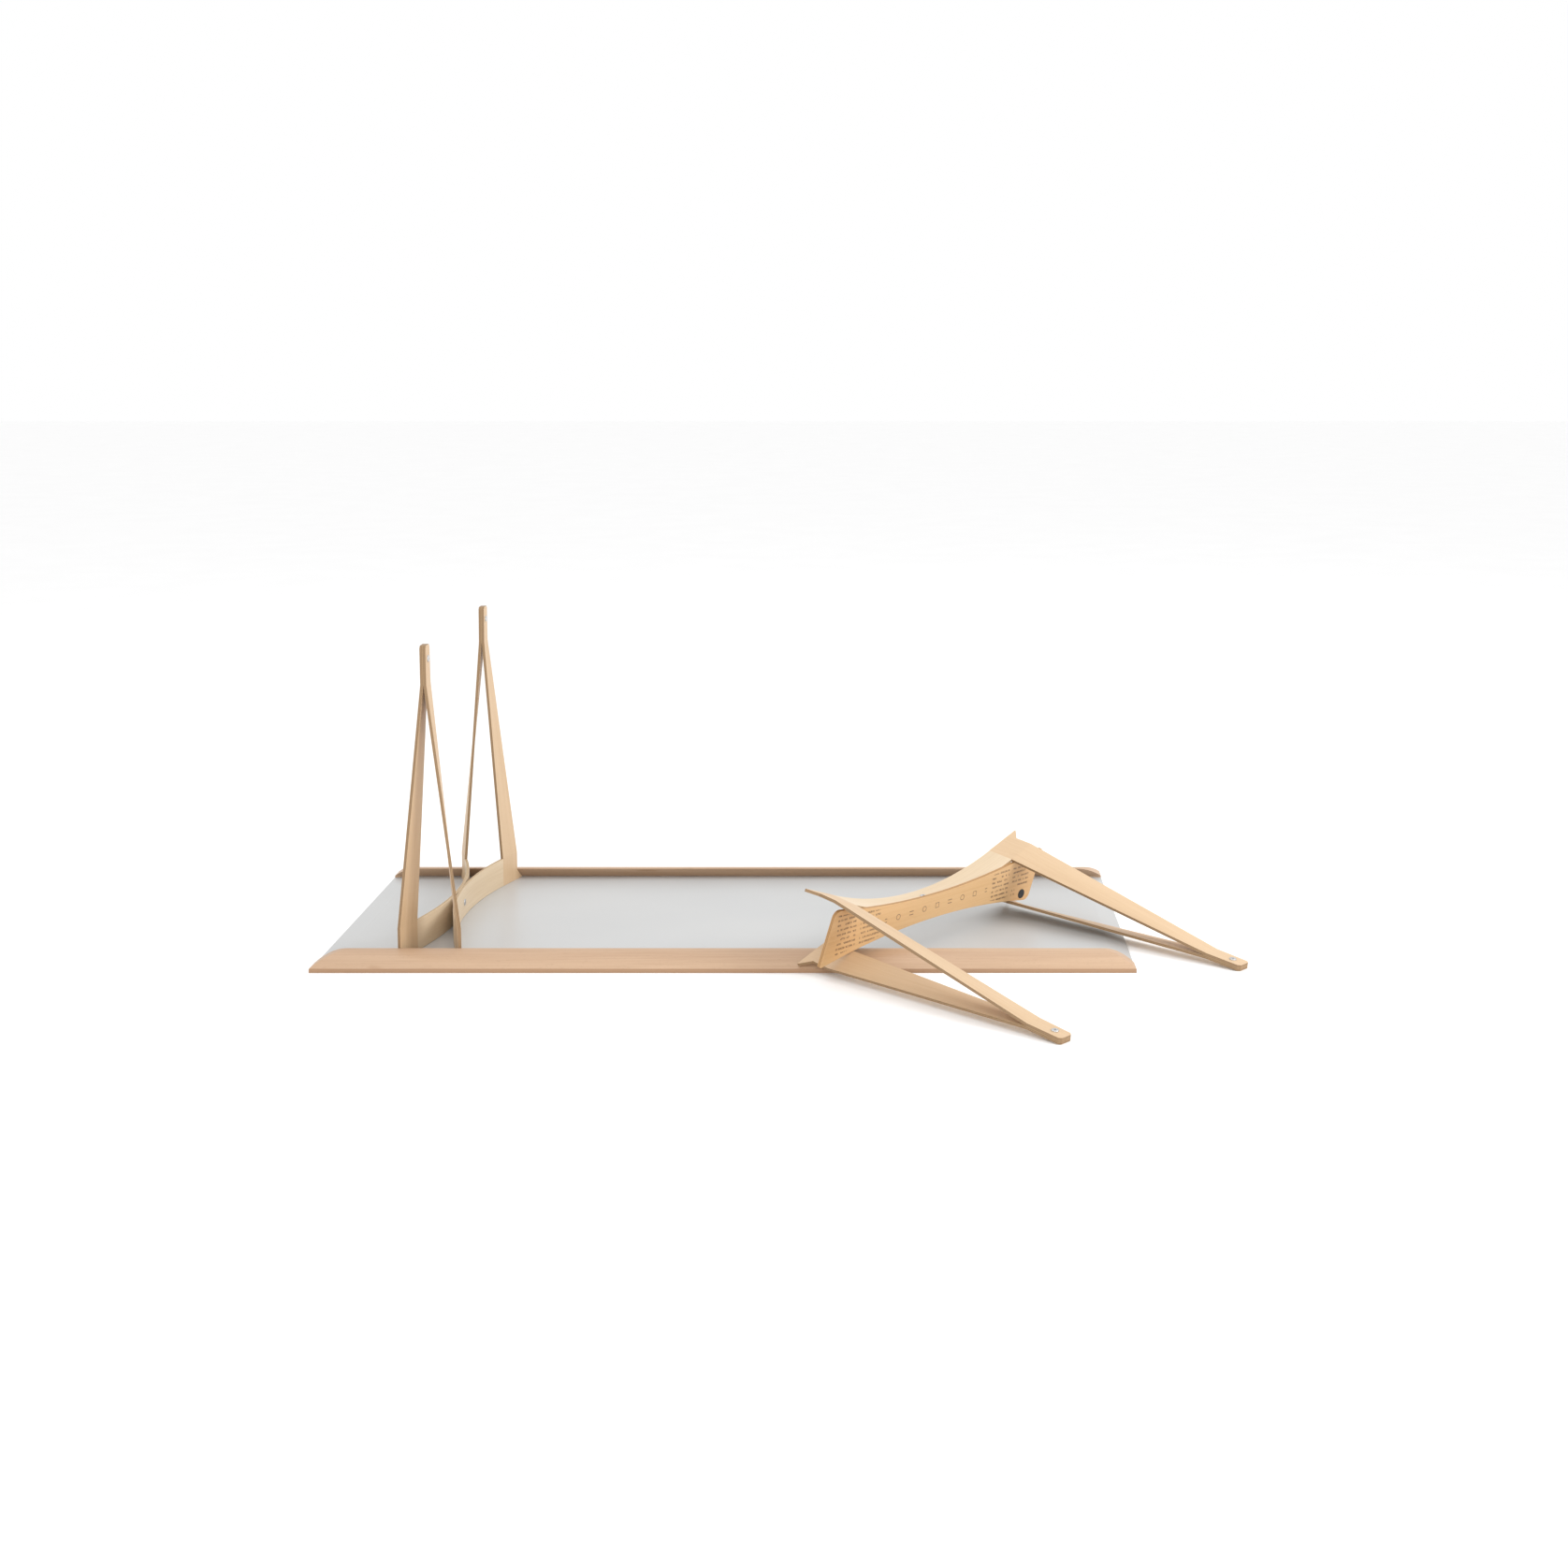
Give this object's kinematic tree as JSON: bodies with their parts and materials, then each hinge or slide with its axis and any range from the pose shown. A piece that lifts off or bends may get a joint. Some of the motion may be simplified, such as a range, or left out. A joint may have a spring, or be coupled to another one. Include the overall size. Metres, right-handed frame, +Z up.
{
  "type": "flat-pack trestle table",
  "caption": "Long tension-leg table lying face down, a bowed plywood leg unit upright between its rails and another, spread by a waisted board, laid across the corner.",
  "frame": {"origin": "the middle of the table's face, on the surface that the upturned table lies on", "axes": "+X along the length towards the loose leg unit, +Y across the width to the far rail, +Z up, away from the face"},
  "size_m": [2.1613, 1.3459, 0.7463],
  "materials": {
    "white_laminate": "satin white laminate",
    "beech": "oiled solid beech",
    "leg_plywood": "oiled plywood with open edges",
    "pale_plywood": "pale bending plywood",
    "board_plywood": null,
    "steel": "zinc-plated steel",
    "black_plastic": "matte black"
  },
  "bodies": {
    "table": {"tabletop_sheet": "white_laminate", "near_rail": "beech", "far_rail": "beech"},
    "left_leg_unit": {"left_inner_crossbar": "pale_plywood", "left_near_inner_leg": "leg_plywood", "left_far_inner_leg": "leg_plywood", "left_outer_crossbar": "pale_plywood", "left_near_outer_leg": "leg_plywood", "left_far_outer_leg": "leg_plywood", "left_tongues": "beech", "left_centre_bolt": "steel", "left_foot_bolts": "steel", "left_centre_sleeve_nut": "steel", "left_foot_sleeve_nuts": "steel"},
    "right_leg_unit": {"right_lower_crossbar": "pale_plywood", "right_near_lower_leg": "leg_plywood", "right_far_lower_leg": "leg_plywood", "right_upper_crossbar": "pale_plywood", "right_near_upper_leg": "leg_plywood", "right_far_upper_leg": "leg_plywood", "right_tongues": "beech", "right_centre_bolt": "steel", "right_foot_bolts": "steel", "right_centre_sleeve_nut": "steel", "right_foot_sleeve_nuts": "steel", "spreader_board": "board_plywood", "board_plug": "black_plastic"}
  },
  "joints": [
    {"name": "left_unit_slide", "type": "slide", "parent": "table", "child": "left_leg_unit", "axis": [1, 0, 0], "range_m": [-0.36, 0.3]},
    {"name": "right_unit_lift", "type": "slide", "parent": "table", "child": "right_leg_unit", "axis": [0, 0, 1], "range_m": [0, 0.3]}
  ]
}
